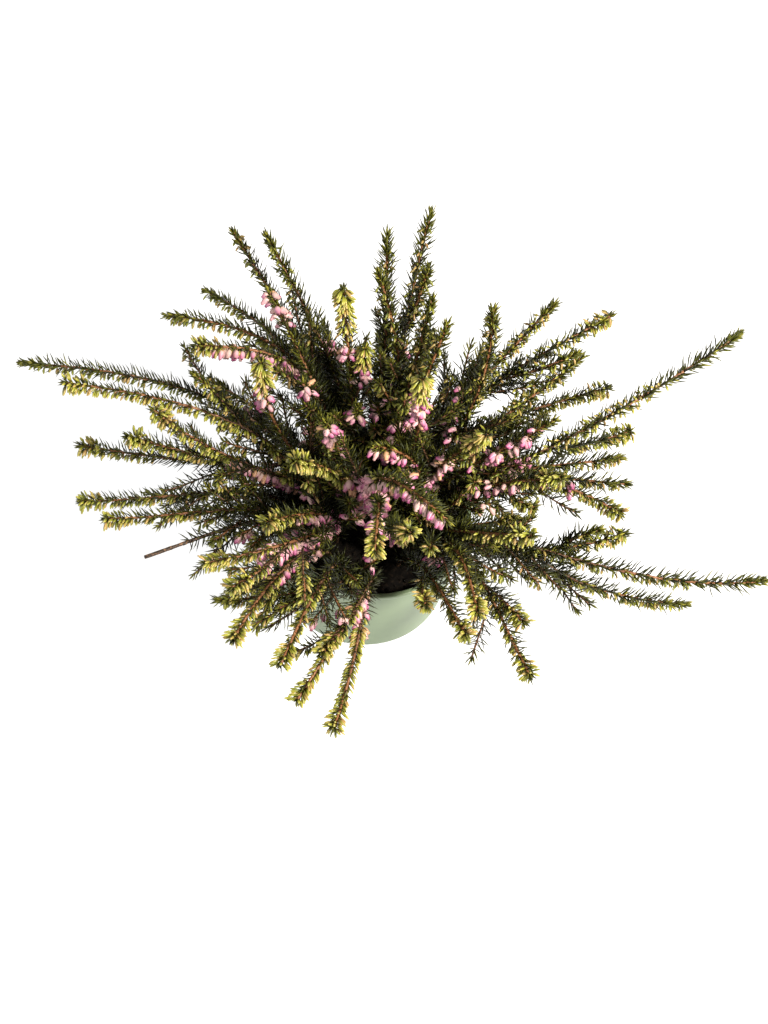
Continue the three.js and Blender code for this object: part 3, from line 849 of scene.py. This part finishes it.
# Flowers hang to one side, down and a little to the front, as heath flowers turn to the light
hanging = np.array([-0.04, -0.5, -0.86])

needle = {
    "round": 4,  # needles in a whorl
    "length": 10.2,
    "lengthVary": (0.8, 1.12),
    "width": 0.5,  # half of the blade's width
    "depth": 0.46,
    "spread": 60,  # degrees from the stem
    "spreadVary": 8,
    "turnVary": 0.18,  # radians round the stem
    "jitter": 0.6,
    "tipClear": 1.2,
    "closing": 18,  # over this length at the tip they close up and get shorter
    "tipSpread": 34,
    "tipShorter": 0.4,
    "rootOut": 0.35,
    "bend": 0.1,
    "bendVary": 0.08,
    "rise": 0.25,  # how much they turn away from where the flowers hang
    "leftLength": 0.78,  # they are shorter on the shoots that end to the left
    "leftOf": -90,
    "rightShare": 0.82,  # and fewer and broader on those that end to the right
    "rightWidth": 1.35,
    "rightOf": 105,
    "crowdLength": (1.6, 0.3, 0.6, 1),  # start, less for each flower, least and most
    "crowdShare": (1.5, 0.27, 0.5, 0.97),
    "underFrom": 0.3,  # on the side where the flowers hang there are fewer still
    "underShare": 0.6,
    "fresher": 0.25,
    "fresherZone": (0.2, 0.8),
    "fresherTip": 25,
    "freshVary": 0.14,
}
needleForm = bladeForm([(0, 0.7), (0.55, 1.0), (1, 0)], 0.9)


def among(crowd, start, less, least, most):
    return np.clip(start - less * crowd, least, most)


def growNeedles(growth, path, start, end, step, rng, zones, freshness):
    # whorls of needles, each turned by half a gap
    distances = np.arange(start, end, step)
    distances = distances + rng.uniform(-needle["jitter"], needle["jitter"], len(distances))
    distances = np.clip(distances, 0, path.length - needle["tipClear"])
    centre, ahead, side, top = path.at(distances)
    count = needle["round"]
    turn = np.arange(len(distances)) * math.pi / count
    angle = turn[:, None] + np.arange(count)[None, :] * 2 * math.pi / count
    angle = angle + rng.normal(0, needle["turnVary"], angle.shape)
    out = between(side[:, None, :], top[:, None, :], angle)
    left = path.length - distances  # what is left to the tip
    ending = smooth(left, needle["closing"], 0)[:, None]
    spread = needle["spread"] + (needle["tipSpread"] - needle["spread"]) * ending
    spread = np.radians(spread + rng.normal(0, needle["spreadVary"], angle.shape))
    way = between(ahead[:, None, :], out, spread)
    way = way - hanging * needle["rise"] * (1 - ending[..., None])
    isLeft = path.points[-1][0] < needle["leftOf"]
    isRight = path.points[-1][0] > needle["rightOf"]
    width = needle["width"] * (needle["rightWidth"] if isRight else 1)
    length = needle["length"] * (needle["leftLength"] if isLeft else 1)
    length = length * (1 - needle["tipShorter"] * ending) * rng.uniform(*needle["lengthVary"], angle.shape)
    share = distances / path.length
    crowd = np.zeros((len(share), 1))  # how many flowers stand at each whorl
    for zone in zones:
        crowd = np.maximum(crowd, np.where((share > zone[0]) & (share < zone[1]), zone[2], 0)[:, None])
    length = length * among(crowd, *needle["crowdLength"])
    kept = among(crowd, *needle["crowdShare"])
    isUnder = (out @ hanging > needle["underFrom"]) & (crowd > 0)
    kept = np.where(isUnder, kept * needle["underShare"], kept)
    keep = rng.uniform(size=angle.shape) < kept * (needle["rightShare"] if isRight else 1)
    fresh = freshness + needle["fresher"] * smooth(share, *needle["fresherZone"])[:, None]
    fresh = fresh + needle["fresher"] * smooth(left, needle["fresherTip"], 0)[:, None]
    fresh = np.clip(fresh + rng.normal(0, needle["freshVary"], angle.shape), 0, 1)
    roots = np.broadcast_to(centre[:, None, :], out.shape)[keep] + out[keep] * needle["rootOut"]
    faces = np.broadcast_to(ahead[:, None, :], out.shape)[keep]
    bend = rng.normal(needle["bend"], needle["bendVary"], keep.sum())
    tone = rng.uniform(size=keep.sum())
    sizes = sizeRows(width, needle["depth"], length[keep])
    growth.copies(needleForm, roots, way[keep], faces, sizes, bend, needleLeaf, tone, fresh[keep])


def scatter(path, zone, step, each, rng):
    # distances from place to place in a stretch, repeated by how many leaves or flowers each place bears
    places = np.arange(zone[0] * path.length, zone[1] * path.length, step)
    return np.repeat(places, rng.poisson(each, len(places)))


# Short leaves: tufts of pale ones between the needles, and a rosette of broad ones at a tip without flowers
leaves = {
    "tuft": {
        "jitter": 1, "topShare": 0.3, "spread": 48, "spreadVary": 12, "spreadLess": 0,
        "length": 4.6, "lengthVary": (0.75, 1.15), "lengthLess": 0, "width": 0.62,
        "rootOut": 0.4, "bend": 0.12, "fresher": 0.42, "freshVary": 0.16, "tipFresher": 0,
    },
    "rosette": {
        "jitter": 0.6, "topShare": 1, "spread": 46, "spreadVary": 8, "spreadLess": 0.6,
        "length": 5.4, "lengthVary": (0.8, 1.1), "lengthLess": 0.25, "width": 0.65,
        "rootOut": 0.3, "bend": 0.14, "fresher": 0.4, "freshVary": 0.12, "tipFresher": 0.15,
    },
    "depth": 0.5,
    "tone": 0.5,
    "top": -0.5,  # from how far off the hanging side the top share holds
    "closing": 5,  # what is less or fresher at the tip is so over this length
    "tipClear": 1,
    "tuftZone": (0.15, 0.97),
    "tuftStep": 2.0,
    "tuftEach": 3.0,
    "rosetteReach": 13,
    "rosetteStep": 1.7,
    "rosetteRound": 4,
}


def growLeaves(growth, path, kind, distances, rng, freshness):
    leaf = leaves[kind]
    distances = distances + rng.uniform(-leaf["jitter"], leaf["jitter"], len(distances))
    centre, ahead, side, top = path.at(distances)
    out = between(side, top, rng.uniform(0, 2 * math.pi, len(distances)))
    if leaf["topShare"] < 1:
        share = np.where(out @ hanging < leaves["top"], leaf["topShare"], 1)
        shown = rng.uniform(size=len(distances)) < share
        distances, centre, ahead, out = distances[shown], centre[shown], ahead[shown], out[shown]
    count = len(distances)
    closing = smooth(path.length - distances, leaves["closing"], 0)
    spread = leaf["spread"] * (1 - leaf["spreadLess"] * closing)
    way = between(ahead, out, np.radians(spread + rng.normal(0, leaf["spreadVary"], count)))
    length = leaf["length"] * rng.uniform(*leaf["lengthVary"], count) * (1 - leaf["lengthLess"] * closing)
    fresh = rng.normal(freshness, leaf["freshVary"], count) + leaf["tipFresher"] * closing
    tone = rng.uniform(0, leaves["tone"], count)
    roots = centre + out * leaf["rootOut"]
    sizes = sizeRows(leaf["width"], leaves["depth"], length)
    growth.copies(
        needleForm, roots, way, ahead, sizes, leaf["bend"], needleLeaf, tone, np.clip(fresh, 0, 1))


def growTufts(growth, path, rng, freshness):
    places = scatter(path, leaves["tuftZone"], leaves["tuftStep"], leaves["tuftEach"], rng)
    growLeaves(growth, path, "tuft", places, rng, freshness)


def growRosette(growth, path, reach, rng, freshness):
    places = np.arange(path.length - reach, path.length - leaves["tipClear"], leaves["rosetteStep"])
    growLeaves(growth, path, "rosette", np.repeat(places, leaves["rosetteRound"]), rng, freshness)


# Flowers. Step is from place to place along the shoot, spread and widest are how far round it they stand, and
# out, ahead and hang are how far they point out from it, along it and down.
flowers = {
    "bud": {
        "step": 1.5, "length": 5.2, "radius": 0.88, "spread": 1.0, "widest": 2.1,
        "out": 0.8, "ahead": 0.4, "hang": 0.4,
    },
    "bell": {
        "step": 2.6, "length": 6.6, "radius": 1.7, "spread": 0.9, "widest": 1.9,
        "out": 0.65, "ahead": 0.25, "hang": 0.6,
    },
    "crown": {
        "length": 6.5, "radius": 0.88, "spread": 3.0, "widest": 4,
        "out": 1.1, "ahead": 0.25, "hang": 0.4,
    },
    "club": {
        "step": 1.4, "length": 6.8, "radius": 0.8, "spread": 3.0, "widest": 4,
        "out": 1.0, "ahead": 0.1, "hang": 0.4,
    },
}
bloom = {  # for every kind of flower
    "jitter": 1,
    "tipClear": 1.5,
    "upright": (0.3, 0.8),  # an upright stem bears them all round
    "uprightSpread": 2.4,
    "uprightAhead": 0.8,
    "endOn": (0.1, 0.6),  # and so does one that points where they hang
    "endOnSpread": 1.6,
    "hangVary": (0.6, 1.2),
    "aheadVary": (0.5, 1.4),
    "lengthVary": (0.82, 1.12),
    "radiusVary": (0.85, 1.12),
    "rootOut": 0.4,
    "bend": 0.22,
    "ripeVary": 0.2,
    "ripeEach": 0.3,  # buds that crowd are riper
    "ripeLess": 0.1,
    "ripest": 0.75,
}
bell = {  # shares of a bell's length and radius
    "antherAt": 0.86,
    "anther": (0.3, 0.3, 0.26),  # width, depth, length
    "sepalAt": 0.22,
    "sepalOut": 0.3,
    "sepalOpen": 0.42,
    "sepal": (0.36, 0.3, 0.46),
}
club = {"least": 3.9}  # from so many buds at each step on, they stand all round and hang like a skirt
crown = {
    "least": 2.0,  # buds crowd at a tip with at least so many at each step
    "endsPast": 0.96,
    "count": 44,
    "reach": 14,
    "leafReach": 4,
    "leafFresher": 0.1,
}
budForm = roundForm([(0, 0), (0.3, 0.5), (0.66, 1.0), (0.94, 0.5), (1, 0)], 4)
sepalForm = bladeForm([(0, 0.8), (1, 0)], 0.5)
bellForm = roundForm([
    (0, 0), (0.2, 0.14), (0.34, 0.85), (0.62, 1.0), (0.93, 0.55), (1.0, 0.66), (0.84, 0)], 7)
antherForm = roundForm([(0, 0), (0.6, 0.9), (1, 0)], 3)


def growFlowers(growth, path, kind, distances, ripeness, rng):
    count = len(distances)
    if count == 0:
        return
    size = flowers[kind]
    distances = distances + rng.uniform(-bloom["jitter"], bloom["jitter"], count)
    centre, ahead, side, top = path.at(np.minimum(distances, path.length - bloom["tipClear"]))
    upright = smooth(ahead @ -hanging, *bloom["upright"])
    endOn = smooth(ahead @ hanging, *bloom["endOn"])
    aside = rng.normal(0, size["spread"] + bloom["uprightSpread"] * upright + bloom["endOnSpread"] * endOn)
    aside = np.where(upright < 0.5, np.clip(aside, -size["widest"], size["widest"]), aside)
    out = between(side, top, np.arctan2(top @ hanging, side @ hanging) + aside)
    way = out * size["out"] + hanging * (size["hang"] * rng.uniform(*bloom["hangVary"], (count, 1)))
    forward = ahead * size["ahead"] * rng.uniform(*bloom["aheadVary"], (count, 1))
    way = unit(way + forward * (1 - bloom["uprightAhead"] * upright[:, None]))
    length = size["length"] * rng.uniform(*bloom["lengthVary"], count)
    radius = size["radius"] * rng.uniform(*bloom["radiusVary"], count)
    roots = centre + out * bloom["rootOut"]
    tone = rng.uniform(size=count)
    if kind == "bell":
        growBells(growth, roots, way, ahead, radius, length, tone)
        return
    ripe = np.clip(ripeness + rng.normal(0, bloom["ripeVary"], count), 0, 1)
    faces = np.tile(hanging, (count, 1))
    sizes = sizeRows(radius, radius, length)
    growth.copies(budForm, roots, way, faces, sizes, bloom["bend"], flowerBud, tone, ripe)


def growBells(growth, roots, way, ahead, radius, length, tone):
    size = sizeRows(radius, radius, length)
    growth.copies(bellForm, roots, way, ahead, size, 0, bellPetal, tone, 0.5)
    tips = roots + way * (length * bell["antherAt"])[:, None]
    growth.copies(antherForm, tips, way, ahead, size * bell["anther"], 0, darkAnther, tone, 0.5)
    across = unit(np.cross(way, ahead))
    over = np.cross(across, way)
    feet = roots + way * (length * bell["sepalAt"])[:, None]
    for quarter in range(4):  # the pale sepals that hold the bell
        turn = math.pi / 4 + quarter * math.pi / 2
        out = across * math.cos(turn) + over * math.sin(turn)
        growth.copies(
            sepalForm, feet + out * (radius * bell["sepalOut"])[:, None], way + out * bell["sepalOpen"], -out,
            size * bell["sepal"], bloom["bend"], flowerBud, tone, 1.0)


def growArm(growth, path, kind, bellZone, budZone, rng, isWoody=False):
    arm = arms[kind]
    freshness = arm["freshness"]
    zones = [zone for zone in (bellZone, budZone) if zone]
    growStem(growth, path, arm, rng, 1 if zones else stem["flowerless"], kind == "main", isWoody)
    leafless = path.length * arm["bareShare"] + arm["bare"]
    leafyEnd = path.length * (stem["woodyLeafy"] if isWoody else 1)
    growNeedles(growth, path, leafless, leafyEnd, arm["whorlStep"], rng, zones, freshness)
    if isWoody:
        return
    if kind != "twig":
        growTufts(growth, path, rng, freshness + leaves["tuft"]["fresher"])
    if bellZone:
        places = scatter(path, bellZone, flowers["bell"]["step"], bellZone[2], rng)
        growFlowers(growth, path, "bell", places, 0, rng)
    if budZone:
        each = budZone[2]
        ripeness = min(each * bloom["ripeEach"] - bloom["ripeLess"], bloom["ripest"])
        bud = "club" if each >= club["least"] else "bud"
        places = scatter(path, budZone, flowers[bud]["step"], each, rng)
        growFlowers(growth, path, bud, places, ripeness, rng)
    if kind == "twig":
        return
    if budZone and budZone[1] > crown["endsPast"] and budZone[2] >= crown["least"]:
        crowded = path.length - rng.uniform(0, crown["reach"], crown["count"])
        growFlowers(growth, path, "crown", crowded, ripeness, rng)
        growRosette(growth, path, crown["leafReach"], rng, freshness + crown["leafFresher"])
    else:
        growRosette(growth, path, leaves["rosetteReach"], rng, freshness + leaves["rosette"]["fresher"])


# Leafy twigs fill the inner part of the plant
twig = {
    "count": 6,
    "counts": {  # shoots whose flowers show from above have fewer, and those over gaps have more
        3: 3, 7: 3, 8: 8, 10: 9, 11: 8, 12: 10, 13: 10, 14: 10, 15: 3, 16: 3, 18: 0, 19: 0, 20: 3, 23: 3,
        24: 3, 25: 3, 26: 3, 28: 3, 29: 3, 30: 9, 31: 12, 32: 10, 49: 9,
    },
    "from": 0.05,
    "to": 0.55,
    "innerLength": 165,  # they stand on the inner part of a longer shoot
    "length": (24, 48),
    "turn": 0.8,
    "lift": 0.35,
    "front": range(15, 23),  # on these shoots they hang lower
    "frontLift": -0.2,
    "leaning": 0.5,  # how much of a shoot's upper side faces up
    "past": 0.3,  # radians above its sides, where none stand on top
    "startAhead": 0.25,
    "startAway": 0.1,
    "endLift": 0.3,
    "endPull": 0.3,
    "lowest": 82,  # none ends lower
    "potShoots": (19, 20, 23, 25),  # none of these hangs in front of the pot
    "potReach": 46,
    "bells": (0.72, 1, 1.4),
    "bellShare": 0.12,
    "bellReach": 100,  # none with bells ends further out
    "buds": (0.6, 1, 1.6),
    "budShare": 0.3,
}

# The shoots at the front left carry more twigs, which bear buds and hang over the rim
curtain = {
    "shoots": range(15, 19),
    "count": 10,
    "from": 0.22,
    "to": 0.62,
    "length": (24, 42),
    "turn": 0.9,
    "lift": -0.45,
    "buds": (0.2, 0.98, 2.6),
    "clear": 62,  # none comes nearer to the pot's axis
    "right": -24,  # none hangs further right, in front of the pot
}


def twigPath(parent, share, kind, lift, rng):
    centre, ahead, side, top = (rows[0] for rows in parent.at(share * parent.length))
    angle = rng.uniform(0, 2 * math.pi)
    if top[2] > twig["leaning"]:  # below a leaning shoot, where they don't hide its flowers
        angle = rng.uniform(-math.pi - twig["past"], twig["past"])
    away = side * math.cos(angle) + top * math.sin(angle)
    span = rng.uniform(*kind["length"])
    way = unit(ahead + away * kind["turn"] + up * lift)
    tip = centre + way * span
    first = centre + ahead * span * twig["startAhead"] + away * span * twig["startAway"]
    last = tip - unit(way + up * twig["endLift"]) * span * twig["endPull"]
    return Path((centre, first, last, tip), unit(np.cross(up, way)))


def growTwigs(growth, path, number, rng):
    count = twig["counts"].get(number, twig["count"])
    lift = twig["frontLift"] if number in twig["front"] else twig["lift"]
    inner = min(1, twig["innerLength"] / path.length)
    for share in rng.uniform(twig["from"], twig["to"], count) * inner:
        small = twigPath(path, share, twig, lift, rng)
        end = small.points[-1]
        away = np.hypot(end[0], end[1])
        hidesPot = number in twig["potShoots"] and away > twig["potReach"]
        if end[2] <= twig["lowest"] or hidesPot:
            continue
        draw = rng.uniform()
        bells = twig["bells"] if draw < twig["bellShare"] and away < twig["bellReach"] else None
        buds = twig["buds"] if draw > 1 - twig["budShare"] else None
        growArm(growth, small, "twig", bells, buds, rng)


def growCurtain(growth, path, rng):
    for share in rng.uniform(curtain["from"], curtain["to"], curtain["count"]):
        small = twigPath(path, share, curtain, curtain["lift"], rng)
        nearest = np.linalg.norm(small.points[:, :2], axis=1).min()
        if nearest > curtain["clear"] and small.points[-1][0] < curtain["right"]:
            growArm(growth, small, "twig", None, curtain["buds"], rng)


def buildShoots():
    triangles = 0
    for number, row in enumerate(shootPlan, 1):
        rng = np.random.default_rng(stem["seed"] + number)
        growth = Growth(heathBark, needleLeaf, flowerBud, bellPetal, darkAnther)
        path = mainPath(row)
        growArm(growth, path, "main", row[6], row[7], rng, number == stem["woodyNumber"])
        for sideRow in sideShootPlan:
            if sideRow[0] == number:
                growArm(growth, sidePath(sideRow, path), "side", sideRow[5], sideRow[6], rng)
        growTwigs(growth, path, number, rng)
        if number in curtain["shoots"]:
            growCurtain(growth, path, rng)
        growth.piece(f"leafyShoot_{number:02d}", "shoot", f"shoot_{number:02d}")
        triangles += sum(len(faces) for faces in growth.faces)
    print("shoots grown:", triangles, "triangles")


buildShoots()
